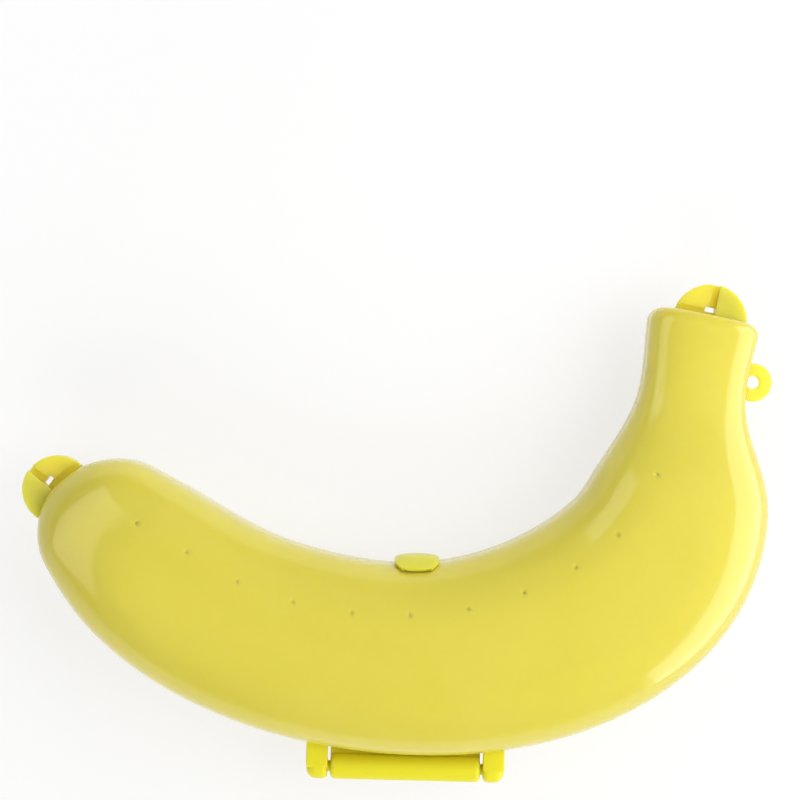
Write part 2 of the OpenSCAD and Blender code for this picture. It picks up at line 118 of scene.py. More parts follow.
class CaseSizes(bpy.types.PropertyGroup):
    """Sizes of the case"""

    shell_depth: length("Shell depth", "Depth of one shell from the parting plane to its flat crown", 0.0225)
    wall: length("Wall", "Wall thickness of both shells", 0.0016)
    rim_band: length("Rim band", "Height of the upright band along each rim", 0.003)
    rim_gap: length("Rim gap", "Gap between the two rims", 0.0003)
    rim_round: length("Rim rounding", "Rounding of a rim's edges", 0.00025)
    crown_blend: length("Crown blend", "Height over which the flat crown blends into the sides", 0.0012)
    tip_round: length("Tip rounding", "Radius that rounds the tip end", 0.014)
    stem_round: length("Stem rounding", "Radius that rounds the stem end", 0.004)
    section_power: FloatProperty(
        name="Section fullness", description="2 is an ellipse, more is squarer", default=2.3, min=2.0, max=4.0
    )

    lip_thickness: length("Lip thickness", "Thickness of the locating lip", 0.001)
    lip_drop: length("Lip drop", "Depth that the lip reaches into the rear shell", 0.0018)
    lip_clear: length("Lip clearance", "Clearance between the lip and the rear shell", 0.00035)

    vent_width: length("Vent width", "Diameter of a vent hole at the inner face", 0.0014)
    vent_count: IntProperty(name="Vents", description="Vent holes in each shell", default=11, min=1)
    vent_pitch: length("Vent pitch", "Distance from hole to hole along the row", 0.016)
    vent_reach: length("Vent reach", "Spine length from the hinge to the first hole", 0.088)
    vent_flare: length("Vent flare", "Distance that a vent hole's mouth stands out past its radius", 0.0004)
    vent_throat: length("Vent throat", "Diameter of a vent hole at its waist", 0.0003)
    vent_dish: length("Vent dish", "Depth of the dish between the skin and a vent hole's waist", 0.00045)

    hinge_drop: length("Hinge drop", "Distance of the hinge line from the spine", 0.0309)
    barrel_width: length("Barrel width", "Diameter of the hinge barrel and ears", 0.0072)
    barrel_length: length("Barrel length", "Length of the barrel", 0.042)
    ear_length: length("Ear length", "Length of one ear", 0.006)
    ear_gap: length("Ear gap", "Gap between the barrel and each ear", 0.0007)
    ear_round: length("Ear rounding", "Rounding of an ear's outer end", 0.0028)
    barrel_round: length("Barrel rounding", "Rounding of the barrel's ends and an ear's inner end", 0.0015)
    pin_width: length("Pin width", "Diameter of the hinge pin", 0.003)
    pin_seat: length("Pin seat", "Depth of the pin in each ear", 0.0035)

    tip_tab_radius: length("Tip tab radius", "Radius of the thumb tab at the tip", 0.0095)
    tip_tab_out: length("Tip tab offset", "Distance of the tip tab's centre from the spine", 0.0037)
    tip_tab_back: length("Tip tab set-back", "Distance of the tip tab's centre from the tip end", 0.0007)
    tip_tab_turn: turn("Tip tab turn", "Turn of the tip tab against the spine", 10)
    tip_window: length("Tip window place", "Distance of the window from the tip tab's centre", 0.0026)
    stem_tab_radius: length("Stem tab radius", "Radius of the thumb tab at the stem", 0.0102)
    stem_tab_out: length("Stem tab offset", "Distance of the stem tab's centre from the spine", 0.0015)
    stem_tab_back: length("Stem tab set-back", "Distance of the stem tab's centre from the stem end", 0.0011)
    stem_window: length("Stem window place", "Distance of the window from the stem tab's centre", 0.0024)
    tab_thickness: length("Tab thickness", "Thickness of a tab's plate", 0.0024)
    tab_round: length("Tab rounding", "Rounding of a tab's edges", 0.0005)
    pad_rise: length("Pad rise", "Height of the rear tab's raised half above the parting plane", 0.0012)
    pad_gap: length("Pad gap", "Distance of the raised half from the front shell", 0.002)
    slot_width: length("Slot width", "Width of the slot between a tab's halves", 0.0018)
    window_width: length("Window width", "Width of the window at the foot of the slot", 0.0028)
    window_length: length("Window length", "Length of the window at the foot of the slot", 0.0014)

    ring_width: length("Ring width", "Diameter of the hanging ring", 0.0108)
    ring_hole: length("Ring hole", "Diameter of the hole in the hanging ring", 0.0036)
    ring_thickness: length("Ring thickness", "Thickness of the hanging ring", 0.0026)
    ring_round: length("Ring rounding", "Rounding of the hanging ring's edges", 0.0007)

    latch_width: length("Latch width", "Width of the latch tongue", 0.0125)
    latch_bow: length("Latch bow", "Radius that rounds the tongue's root, seen from the front", 0.008)
    latch_thickness: length("Latch thickness", "Thickness of the tongue", 0.00085)
    latch_stand: length("Latch stand", "Distance of the tongue's face from its root", 0.00298)
    latch_knee: length("Latch knee", "Distance from the root down to where the tongue starts to lean", 0.006)
    latch_reach: length("Latch reach", "Distance from the root down to the tongue's end", 0.017)
    latch_root: length("Latch root", "Radius of the rounded root", 0.0009)
    latch_crown: length("Latch crown", "Distance that the tongue's sides stand back from its middle", 0.0009)
    latch_corner: length("Latch corner", "Rounding of the tongue's lower corners", 0.0016)
    bead_height: length("Bead height", "Height of the bead that passes the catch", 0.0012)
    bead_depth: length("Bead depth", "Distance that the bead stands in from the tongue", 0.0004)
    bead_width: length("Bead width", "Width of the bead", 0.009)

    sink: length("Sink", "Depth that moulded fittings run into the wall", 0.0006)


class CaseColours(bpy.types.PropertyGroup):
    """Colours of the case and its stage"""

    shell: paint("Shell", "Thin walls of the shells", 226, 211, 83)
    shell_deep: paint("Shell, deep", "Shells where the wall is solid, along the rim", 219, 203, 62)
    fitting: paint("Fittings", "Hinge and latch", 240, 230, 60)
    fitting_deep: paint("Fittings, deep", "Thick parts of the fittings", 233, 222, 46)
    tab: paint("Tabs and ring", "Thumb tabs and hanging ring", 250, 228, 98)
    tab_deep: paint("Tabs and ring, deep", "Tabs and ring close to the parting plane", 247, 222, 86)
    pin: paint("Pin", "Hinge pin", 204, 190, 50)
    floor: paint("Floor", "Floor under the case", 246, 246, 246)


def case_sizes():
    return bpy.context.scene.banana_case_sizes


def case_colours():
    return bpy.context.scene.banana_case_colours


# Spine and section of the body


def slope(i, column):
    """Slope of a column of the stations at one of them"""
    a, b = STATIONS[max(i - 1, 0)], STATIONS[min(i + 1, len(STATIONS) - 1)]
    return (b[column] - a[column]) / (b[PLACE] - a[PLACE])


def along(column, place):
    """Value of a column at a place on the spine, on a smooth curve through the stations"""
    i = 0
    while i < len(STATIONS) - 2 and place >= STATIONS[i + 1][PLACE]:
        i += 1
    a, b = STATIONS[i], STATIONS[i + 1]
    step = b[PLACE] - a[PLACE]
    t = (place - a[PLACE]) / step
    ease = t * t * (3 - 2 * t)
    ends = (1 - t) * slope(i, column) - t * slope(i + 1, column)
    return a[column] * (1 - ease) + b[column] * ease + step * t * (1 - t) * ends


def ahead(place):
    """Direction of the spine"""
    angle = math.radians(along(TURN, place))
    return Vector((math.cos(angle), math.sin(angle), 0.0))


def inward(place):
    """Direction across the spine to the inside of the bend"""
    way = ahead(place)
    return Vector((-way.y, way.x, 0.0))


def spine_point(place):
    """Point of the spine, on the parting plane"""
    step = place / SPINE_STEPS
    start = Vector(JOINTS["lid_hinge"]["pos_m"]) + Vector((0.0, case_sizes().hinge_drop, 0.0))
    return sum((ahead(step * (k + 0.5)) * step for k in range(SPINE_STEPS)), start)


def soft_min(a, b, reach):
    """Smaller of two heights, with the corner between them blended"""
    share = max(0.0, min(1.0, 0.5 + 0.5 * (b - a) / reach))
    return b + (a - b) * share - reach * share * (1 - share)


def body_rows(offset, body_steps, round_steps, cap_steps):
    """Rows of the skin from tip to stem: place, width that the end's rounding takes, share of the end wall"""
    size = case_sizes()
    tip_r, stem_r = size.tip_round + offset, size.stem_round + offset
    first = STATIONS[0][PLACE] + size.tip_round
    last = STATIONS[-1][PLACE] - size.stem_round
    quarter = [math.pi / 2 * k / round_steps for k in range(round_steps + 1)]
    rows = [(first - tip_r, tip_r, k / cap_steps) for k in range(cap_steps)]
    rows += [(first - tip_r * math.cos(a), tip_r * (1 - math.sin(a)), 1.0) for a in quarter]
    rows += [(first + (last - first) * k / body_steps, 0.0, 1.0) for k in range(1, body_steps)]
    rows += [(last + stem_r * math.sin(a), stem_r * (1 - math.cos(a)), 1.0) for a in quarter]
    rows += [(last + stem_r, stem_r, 1 - k / cap_steps) for k in range(1, cap_steps + 1)]
    return rows


def section_columns(steps, floor):
    """Half section from the inner rim over the crown to the outer rim: side, share of the rim band, rise"""
    power = 2 / case_sizes().section_power
    arch = []
    for k in range(steps + 1):
        a = math.pi * k / steps
        side = math.copysign(abs(math.cos(a)) ** power, math.cos(a))
        arch.append((side, 1.0, max(math.sin(a), 0.0) ** power))
    return [(1.0, floor, 0.0), (1.0, 0.5, 0.0)] + arch + [(-1.0, 0.5, 0.0), (-1.0, floor, 0.0)]


def skin_line(row, columns, offset, side):
    """Points over one half section of the skin, at an offset from it"""
    size = case_sizes()
    place, taken, share = row
    full = along(HALF_WIDTH, place) + offset
    half = full - taken
    rise = (along(DEPTH, place) + offset - size.rim_band) * half / full
    middle, inner = spine_point(place), inward(place)
    floor = columns[0][1] * size.rim_band
    points = []
    for reach, band, arch in columns:
        height = soft_min(size.rim_band * band + rise * arch, size.shell_depth + offset, size.crown_blend)
        height = floor + (height - floor) * share
        points.append(middle + inner * (half * share * reach) + Vector((0.0, 0.0, side * height)))
    return points


def lay_grid(bm, lines):
    """Lays a grid on lines of points and closes it where they meet"""
    across, down = len(lines) - 1, len(lines[0]) - 1
    grid = bmesh.ops.create_grid(bm, x_segments=across, y_segments=down, size=0.5)
    for vert in grid["verts"]:
        vert.co = lines[round((vert.co.x + 0.5) * across)][round((vert.co.y + 0.5) * down)]
    bmesh.ops.remove_doubles(bm, verts=bm.verts, dist=1e-6)


def body_block(offset):
    """Closed body of both halves, at an offset from its skin"""
    bm = bmesh.new()
    rows = body_rows(offset, body_steps=60, round_steps=6, cap_steps=3)
    columns = section_columns(steps=32, floor=0.0)
    for side in (FRONT, REAR):
        lay_grid(bm, [skin_line(row, columns, offset, side) for row in rows])
    bmesh.ops.recalc_face_normals(bm, faces=bm.faces)
    return bm


def edge_loop(offset, height, steps):
    """Points of the body's outline at an offset, once around"""
    rows = [row for row in body_rows(offset, steps, round_steps=8, cap_steps=1) if row[2] == 1.0]
    sides = []
    for way in (1, -1):
        points = []
        for place, taken, _ in rows:
            half = along(HALF_WIDTH, place) + offset - taken
            points.append(spine_point(place) + inward(place) * (way * half) + Vector((0.0, 0.0, height)))
        sides.append(points)
    return sides[0] + sides[1][::-1]


# Mesh helpers


def stand_in(bm, name):
    """Object that only lives while a cut is made"""
    mesh = bpy.data.meshes.new(name)
    bm.to_mesh(mesh)
    bm.free()
    body = bpy.data.objects.new(name, mesh)
    bpy.context.scene.collection.objects.link(body)
    return body


def carve(bm, tool, operation="DIFFERENCE"):
    """Cuts one closed mesh with another, or joins them, and returns the result"""
    block, knife = stand_in(bm, "carve_block"), stand_in(tool, "carve_knife")
    boolean = block.modifiers.new("carve", "BOOLEAN")
    boolean.object = knife
    boolean.operation = operation
    boolean.solver = "EXACT"
    bpy.context.view_layer.update()
    result = bmesh.new()
    result.from_mesh(block.evaluated_get(bpy.context.evaluated_depsgraph_get()).data)
    for body in (block, knife):
        mesh = body.data
        bpy.data.objects.remove(body)
        bpy.data.meshes.remove(mesh)
    if not result.faces:
        raise RuntimeError("a cut left nothing")
    bmesh.ops.remove_doubles(result, verts=result.verts, dist=1e-7)
    return result


def take_in(bm, other):
    """Adds another mesh as a closed part of its own"""
    mesh = bpy.data.meshes.new("taken_in")
    other.to_mesh(mesh)
    other.free()
    bm.from_mesh(mesh)
    bpy.data.meshes.remove(mesh)


def round_edges(bm, edges, radius, segments=4):
    """Rounds edges of a mesh"""
    bmesh.ops.bevel(
        bm, geom=edges, offset=radius, offset_type="OFFSET", segments=segments, profile=0.5, affect="EDGES",
        material=-1, clamp_overlap=True
    )


def sharp_edges(bm, least=50):
    """Edges where two faces meet at more than an angle in degrees"""
    bm.normal_update()
    return [e for e in bm.edges if e.is_manifold and e.calc_face_angle() > math.radians(least)]


def set_down(bm, node, body, material, smooth=38, weighted=True):
    """Makes a finished piece that rides on a body and stands for a solid part"""
    name = "moulded_" + node
    bmesh.ops.recalc_face_normals(bm, faces=bm.faces)
    mesh = bpy.data.meshes.new(name)
    bm.to_mesh(mesh)
    bm.free()
    mesh.shade_smooth()
    mesh.set_sharp_from_angle(angle=math.radians(smooth))
    mesh.materials.append(material)
    piece = bpy.data.objects.new(name, mesh)
    bpy.context.scene.collection.objects.link(piece)
    if weighted:
        normals = piece.modifiers.new("weighted_normals", "WEIGHTED_NORMAL")
        normals.keep_sharp = True
    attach(piece, body)
    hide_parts(node)
    return piece


# Materials


def fill(node, inputs):
    """Sets inputs of a node"""
    for key, value in inputs.items():
        node.inputs[key].default_value = value


def wire(tree, kind, place, inputs=None, **values):
    """Adds a node and sets its values and inputs"""
    node = tree.nodes.new(kind)
    node.location = place
    for key, value in values.items():
        setattr(node, key, value)
    fill(node, inputs or {})
    return node


def noise(tree, coord, place, inputs):
    """Adds a noise that stays on the piece"""
    node = wire(tree, "ShaderNodeTexNoise", place, inputs)
    tree.links.new(coord.outputs["Object"], node.inputs["Vector"])
    return node


def grain(tree, shader, source, place, strength):
    """Lets a noise raise the shader's surface by up to a tenth of a millimetre"""
    bump = wire(tree, "ShaderNodeBump", place, {"Strength": strength, "Distance": 0.0001})
    tree.links.new(source.outputs["Fac"], bump.inputs["Height"])
    tree.links.new(bump.outputs["Normal"], shader.inputs["Normal"])


def moulded_plastic(name, colour, deep, roughness, see_through, glow_depth, coat, shine):
    """Semi-gloss plastic with faint flow clouds, fine skin and a deeper tone along the parting plane"""
    material = bpy.data.materials.get(name)
    if material:
        return material
    material = bpy.data.materials.new(name)
    material.use_nodes = True
    tree = material.node_tree
    shader = tree.nodes["Principled BSDF"]
    link = tree.links.new
    coord = wire(tree, "ShaderNodeTexCoord", (-1400, 0))

    cloud = noise(tree, coord, (-1150, 300), {"Scale": 38.0, "Detail": 3.0, "Distortion": 0.3})
    cloud_range = {"From Min": 0.3, "From Max": 0.75, "To Max": 0.3}
    cloud_share = wire(tree, "ShaderNodeMapRange", (-900, 300), cloud_range)
    link(cloud.outputs["Fac"], cloud_share.inputs["Value"])

    parts = wire(tree, "ShaderNodeSeparateXYZ", (-1150, 0))
    link(coord.outputs["Object"], parts.inputs["Vector"])
    parting = {1: case_sizes().shell_depth}
    height = wire(tree, "ShaderNodeMath", (-980, 0), parting, operation="SUBTRACT")
    link(parts.outputs["Z"], height.inputs[0])
    off = wire(tree, "ShaderNodeMath", (-830, 0), operation="ABSOLUTE")
    link(height.outputs["Value"], off.inputs[0])
    rim_range = {"From Min": 0.0004, "From Max": 0.0085, "To Min": 0.85, "To Max": 0.0}
    rim = wire(tree, "ShaderNodeMapRange", (-680, 0), rim_range, interpolation_type="SMOOTHSTEP")
    link(off.outputs["Value"], rim.inputs["Value"])
    depth = wire(tree, "ShaderNodeMath", (-520, 120), operation="MAXIMUM")
    link(cloud_share.outputs["Result"], depth.inputs[0])
    link(rim.outputs["Result"], depth.inputs[1])
    tones = {"A": (*colour, 1.0), "B": (*deep, 1.0)}
    tone = wire(tree, "ShaderNodeMix", (-350, 200), tones, data_type="RGBA")
    link(depth.outputs["Value"], tone.inputs["Factor"])
    link(tone.outputs["Result"], shader.inputs["Base Color"])

    rub = noise(tree, coord, (-900, -250), {"Scale": 160.0, "Detail": 4.0})
    rub_range = {"From Min": 0.3, "From Max": 0.7, "To Min": roughness - 0.03, "To Max": roughness + 0.02}
    rough = wire(tree, "ShaderNodeMapRange", (-650, -250), rub_range)
    link(rub.outputs["Fac"], rough.inputs["Value"])
    link(rough.outputs["Result"], shader.inputs["Roughness"])

    skin = noise(tree, coord, (-900, -500), {"Scale": 1400.0, "Detail": 2.0})
    grain(tree, shader, skin, (-650, -500), strength=0.02)

    fill(shader, {
        "IOR": 1.5,
        "Subsurface Weight": see_through,
        "Subsurface Radius": (1.0, 0.9, 0.4),
        "Subsurface Scale": glow_depth,
        "Coat Weight": coat,
        "Coat Roughness": 0.05,
        "Specular IOR Level": shine,
    })
    return material


def shell_plastic():
    """Plastic of the shells and the lip"""
    colours = case_colours()
    return moulded_plastic(
        "shell_moulding", colours.shell, colours.shell_deep, roughness=0.22, see_through=0.5,
        glow_depth=0.004, coat=0.35, shine=0.3
    )


def fitting_plastic():
    """Plastic of the hinge and the latch"""
    colours = case_colours()
    return moulded_plastic(
        "fitting_moulding", colours.fitting, colours.fitting_deep, roughness=0.34, see_through=0.5,
        glow_depth=0.004, coat=0.05, shine=0.25
    )


def tab_plastic():
    """Plastic of the thumb tabs and the hanging ring"""
    colours = case_colours()
    return moulded_plastic(
        "tab_moulding", colours.tab, colours.tab_deep, roughness=0.32, see_through=1.0,
        glow_depth=0.008, coat=0.1, shine=0.3
    )


def pin_plastic():
    """Plastic of the hinge pin"""
    colours = case_colours()
    return moulded_plastic(
        "pin_moulding", colours.pin, colours.fitting_deep, roughness=0.34, see_through=0.1,
        glow_depth=0.004, coat=0.05, shine=0.25
    )


# Pieces


def vent_places():
    """Places of the vent holes on the spine, at an even pitch along their own row"""
    size = case_sizes()
    step = 0.001
    places, place = [], -size.vent_reach
    for _ in range(size.vent_count):
        places.append(place)
        rate = math.radians(along(TURN, place + step) - along(TURN, place - step)) / (2 * step)
        place += size.vent_pitch / (1 - along(VENT_ROW, place) * rate)
    return places


def skin_height(place, reach):
    """Height of the outer skin above the parting plane at a distance across the spine"""
    size = case_sizes()
    half = along(HALF_WIDTH, place)
    arch = (1 - (abs(reach) / half) ** size.section_power) ** (1 / size.section_power)
    height = size.rim_band + (along(DEPTH, place) - size.rim_band) * arch
    return soft_min(height, size.shell_depth, size.crown_blend)


def vent_drills(side):
    """Tools that cut the vent holes, each with a dish outside, a narrow waist and a wider inside"""
    size = case_sizes()
    bm = bmesh.new()
    r, throat, mouth = size.vent_width / 2, size.vent_throat / 2, size.vent_width / 2 + size.vent_flare
    dish = size.vent_dish
    # Radius and height over the skin, from the cavity outwards
    profile = [
        (0, -DRILL_REACH), (r, -DRILL_REACH), (r, -size.wall), (throat, -dish * 1.2), (throat, -dish),
        (r * 0.55, -dish * 0.7), (r, -dish * 0.3), (mouth, dish * 0.1),
        (mouth, DRILL_REACH), (0, DRILL_REACH),
    ]
    for place in vent_places():
        row, step = along(VENT_ROW, place), 0.0005
        rise = skin_height(place, row + step) - skin_height(place, row - step)
        out = (inward(place) * (-rise / (2 * step)) + Vector((0.0, 0.0, 1.0))).normalized()
        spot = spine_point(place) + inward(place) * row + Vector((0.0, 0.0, skin_height(place, row)))
        turned = Matrix.Translation(spot) @ out.to_track_quat("Z", "Y").to_matrix().to_4x4()
        verts = [bm.verts.new(turned @ Vector((x, 0.0, z))) for x, z in profile]
        edges = [bm.edges.new(pair) for pair in zip(verts, verts[1:])]
        bmesh.ops.spin(
            bm, geom=verts + edges, cent=spot, axis=out, angle=2 * math.pi, steps=28, use_merge=True,
            use_duplicate=False
        )
    bmesh.ops.remove_doubles(bm, verts=bm.verts, dist=1e-6)
    if side == REAR:
        parting = JOINTS["lid_hinge"]["pos_m"][2]
        bmesh.ops.scale(bm, vec=(1, 1, -1), space=Matrix.Translation((0, 0, -parting)), verts=bm.verts)
    bmesh.ops.recalc_face_normals(bm, faces=bm.faces)
    return bm


def half_shell(side):
    """One half shell with its wall, rounded rim and vent holes"""
    size = case_sizes()
    bm = bmesh.new()
    columns = section_columns(steps=80, floor=size.rim_gap / 2 / size.rim_band)
    steps = {"body_steps": 150, "round_steps": 12, "cap_steps": 4}
    lines = []
    for outer, inner in zip(body_rows(0.0, **steps), body_rows(-size.wall, **steps)):
        line = skin_line(outer, columns, 0.0, side)
        lines.append(line + skin_line(inner, columns, -size.wall, side)[::-1] + line[:1])
    lay_grid(bm, lines)
    bmesh.ops.recalc_face_normals(bm, faces=bm.faces)
    parting = JOINTS["lid_hinge"]["pos_m"][2]
    low = {v for v in bm.verts if abs(v.co.z - parting) < size.rim_gap}
    corners = [e for e in sharp_edges(bm, 60) if e.verts[0] in low and e.verts[1] in low]
    round_edges(bm, corners, size.rim_round, 3)
    return carve(bm, vent_drills(side))


class BANANACASE_OT_shells(bpy.types.Operator):
    """Model the front and rear half shells"""

    bl_idname = "bananacase.shells"
    bl_label = "Half shells"

    def execute(self, context):
        for side, body in ((FRONT, "front"), (REAR, "rear")):
            node = body + "_shell"
            set_down(half_shell(side), node, body, shell_plastic(), weighted=False)
        return {"FINISHED"}


class BANANACASE_OT_lip(bpy.types.Operator):
    """Model the locating lip inside the front rim"""

    bl_idname = "bananacase.lip"
    bl_label = "Locating lip"

    def execute(self, context):
        size = case_sizes()
        root, inner = -size.wall, -size.wall - size.lip_clear - size.lip_thickness
        guide = -size.wall - size.lip_clear
        rim, low = size.rim_gap / 2, -size.lip_drop
        profile = [
            (root, rim), (root, size.rim_band), (inner, size.rim_band), (inner, low + LIP_CHAMFER),
            (inner + LIP_CHAMFER, low), (guide - LIP_CHAMFER, low), (guide, low + LIP_CHAMFER), (guide, rim),
        ]
        loops = [edge_loop(offset, height, steps=120) for offset, height in profile + profile[:1]]
        bm = bmesh.new()
        lay_grid(bm, [[*around] for around in zip(*(loop + loop[:1] for loop in loops))])
        set_down(bm, "locating_lip", "front", shell_plastic())
        return {"FINISHED"}


def hinge_frame():
    """Frame of the hinge line: X along it, Y to the inside of the bend"""
    return Matrix.Translation(Vector(JOINTS["lid_hinge"]["pos_m"]))


def bar(start, end, radius, start_round=0.0, end_round=0.0):
    """Round bar along the hinge line, with square or rounded ends"""
    bm = bmesh.new()
    lie = Matrix.Translation(((start + end) / 2, 0, 0)) @ Matrix.Rotation(math.pi / 2, 4, "Y")
    bmesh.ops.create_cone(
        bm, cap_ends=True, cap_tris=False, segments=72, radius1=radius, radius2=radius, depth=end - start,
        matrix=hinge_frame() @ lie
    )
    middle = (hinge_frame() @ Vector(((start + end) / 2, 0, 0))).x
    for way, rounding in ((-1, start_round), (1, end_round)):
        if rounding > 0:
            edges = [e for e in sharp_edges(bm) if (e.verts[0].co.x - middle) * way > 0]
            round_edges(bm, edges, rounding, 6)
    return bm


def brick(low, high, place, rounding=0.0):
    """Block between two corners in a frame, with rounded edges"""
    bm = bmesh.new()
    low, high = Vector(low), Vector(high)
    stretch = Matrix.Diagonal((*(high - low), 1.0))
    bmesh.ops.create_cube(bm, size=1.0, matrix=Matrix.Translation((low + high) / 2) @ stretch)
    if rounding > 0:
        round_edges(bm, bm.edges[:], rounding, 3)
    bmesh.ops.transform(bm, matrix=place, verts=bm.verts)
    bmesh.ops.recalc_face_normals(bm, faces=bm.faces)
    return bm


def knuckle(start, end, start_round, end_round, side):
    """Hinge knuckle with its web to one shell, which the caller then bores for the pin"""
    size = case_sizes()
    r = size.barrel_width / 2
    low, high = (size.rim_gap, r - HAIR) if side == FRONT else (HAIR - r, -size.rim_gap)
    web = brick((start, 0.0, low), (end, 3 * r, high), hinge_frame(), WEB_ROUND)
    bm = carve(bar(start, end, r, start_round, end_round), web, "UNION")
    return carve(bm, body_block(-size.sink))


class BANANACASE_OT_hinge(bpy.types.Operator):
    """Model the hinge barrel and the two ears, and finish the pin"""

    bl_idname = "bananacase.hinge"
    bl_label = "Hinge"

    def execute(self, context):
        size = case_sizes()
        half, r = size.barrel_length / 2, size.pin_width / 2
        barrel = knuckle(-half, half, size.barrel_round, size.barrel_round, REAR)
        barrel = carve(barrel, bar(-half - BORE_OVER, half + BORE_OVER, r + PIN_CLEAR))
        set_down(barrel, "hinge_barrel", "rear", fitting_plastic())
        start = half + size.ear_gap
        end = start + size.ear_length
        left = knuckle(-end, -start, size.ear_round, size.barrel_round, FRONT)
        left = carve(left, bar(-start - size.pin_seat, -start + BORE_OVER, r))
        set_down(left, "left_hinge_ear", "front", fitting_plastic())
        right = knuckle(start, end, size.barrel_round, size.ear_round, FRONT)
        right = carve(right, bar(start - BORE_OVER, start + size.pin_seat, r))
        set_down(right, "right_hinge_ear", "front", fitting_plastic())
        finish_solid("hinge_pin", pin_plastic())
        return {"FINISHED"}


def finish_solid(node, material):
    """Gives a solid part that stays in view its material"""
    materials = frame["nodes"][node].data.materials
    materials.clear()
    materials.append(material)


def disc(radius, bottom, top, rounding, half=0):
    """Disc in a tab's frame, or the half of it on one side of the slot"""
    size = case_sizes()
    bm = bmesh.new()
    bmesh.ops.create_circle(bm, cap_ends=True, segments=128, radius=radius)
    if half:
        bmesh.ops.bisect_plane(
            bm, geom=bm.verts[:] + bm.edges[:] + bm.faces[:], plane_co=(0, half * size.slot_width / 2, 0),
            plane_no=(0, half, 0), clear_inner=True
        )
    bmesh.ops.translate(bm, vec=(0, 0, bottom), verts=bm.verts)
    risen = bmesh.ops.extrude_face_region(bm, geom=bm.faces[:])["geom"]
    upper = [part for part in risen if isinstance(part, bmesh.types.BMVert)]
    bmesh.ops.translate(bm, vec=(0, 0, top - bottom), verts=upper)
    bmesh.ops.recalc_face_normals(bm, faces=bm.faces)
    round_edges(bm, sharp_edges(bm), rounding)
    return bm


def move(bm, place):
    """Moves a mesh into a frame"""
    bmesh.ops.transform(bm, matrix=place, verts=bm.verts)
    bmesh.ops.recalc_face_normals(bm, faces=bm.faces)
    return bm


def tab_frames():
    """Frame, radius and window place of each tab: X out of the end, Y to the rear half"""
    size = case_sizes()
    tip, stem = STATIONS[0][PLACE], STATIONS[-1][PLACE]
    tip_centre = spine_point(tip) + ahead(tip) * size.tip_tab_back - inward(tip) * size.tip_tab_out
    tip_angle = math.pi + math.radians(STATIONS[0][TURN]) + size.tip_tab_turn
    stem_centre = spine_point(stem) - ahead(stem) * size.stem_tab_back - inward(stem) * size.stem_tab_out
    stem_angle = math.radians(STATIONS[-1][TURN])
    mirrored = Matrix.Scale(-1.0, 4, (0, 1, 0))
    tip_place = Matrix.Translation(tip_centre) @ Matrix.Rotation(tip_angle, 4, "Z") @ mirrored
    stem_place = Matrix.Translation(stem_centre) @ Matrix.Rotation(stem_angle, 4, "Z")
    return {
        "tip": (tip_place, size.tip_tab_radius, size.tip_window),
        "stem": (stem_place, size.stem_tab_radius, size.stem_window),
    }


class BANANACASE_OT_tabs(bpy.types.Operator):
    """Model the thumb tabs at both ends"""

    bl_idname = "bananacase.tabs"
    bl_label = "Thumb tabs"

    def execute(self, context):
        size = case_sizes()
        top, rounding, tall = size.rim_gap / 2, size.tab_round, 0.01
        bottom = -top - size.tab_thickness
        for end, (place, radius, window) in tab_frames().items():
            low = (window, -size.slot_width / 2, -tall)
            high = (window + size.window_length, size.window_width - size.slot_width / 2, tall)
            plate = move(disc(radius - HAIR, bottom, -top, rounding), place)
            plate = carve(plate, body_block(-size.sink))
            pad = move(disc(radius, bottom + HAIR, size.pad_rise, rounding, half=1), place)
            pad = carve(pad, body_block(size.pad_gap))
            rear = carve(plate, pad, "UNION")
            rear = carve(rear, brick(low, high, place))
            set_down(rear, "rear_" + end + "_tab", "rear", tab_plastic())
            front = move(disc(radius, top, top + size.tab_thickness, rounding, half=-1), place)
            front = carve(front, body_block(-size.sink))
            front = carve(front, brick(low, high, place))
            set_down(front, "front_" + end + "_tab", "front", tab_plastic())
        return {"FINISHED"}


class BANANACASE_OT_ring(bpy.types.Operator):
    """Model the hanging ring beside the stem"""

    bl_idname = "bananacase.ring"
    bl_label = "Hanging ring"

    def execute(self, context):
        size = case_sizes()
        mount = next(m for m in frame["record"]["mounts"] if m["name"] == "hang_ring_hole")
        centre = Vector(mount["pos_m"])
        outer, hole, rounding = size.ring_width / 2, size.ring_hole / 2, size.ring_round
        half = size.ring_thickness / 2
        bm = bmesh.new()
        corners = [(hole, -half), (outer, -half), (outer, half), (hole, half)]
        verts = [bm.verts.new(centre + Vector((x, 0, z))) for x, z in corners]
        edges = [bm.edges.new(pair) for pair in zip(verts, verts[1:] + verts[:1])]
        bmesh.ops.spin(
            bm, geom=verts + edges, cent=centre, axis=(0, 0, 1), angle=2 * math.pi, steps=96, use_merge=True,
            use_duplicate=False
        )
        bmesh.ops.remove_doubles(bm, verts=bm.verts, dist=1e-6)
        bmesh.ops.recalc_face_normals(bm, faces=bm.faces)
        round_edges(bm, sharp_edges(bm), rounding, 5)
        bm = carve(bm, body_block(-size.sink))
        set_down(bm, "hang_ring", "rear", tab_plastic())
        return {"FINISHED"}


def latch_frame():
    """Frame of the latch's root: X along it, Y off the body, Z to the front"""
    joint = JOINTS["latch_flex"]
    way = Vector(joint["axis"]).normalized()
    off = Vector((-way.y, way.x, 0.0))
    turned = Matrix((way, off, Vector((0, 0, 1)))).transposed().to_4x4()
    return Matrix.Translation(Vector(joint["pos_m"])) @ turned


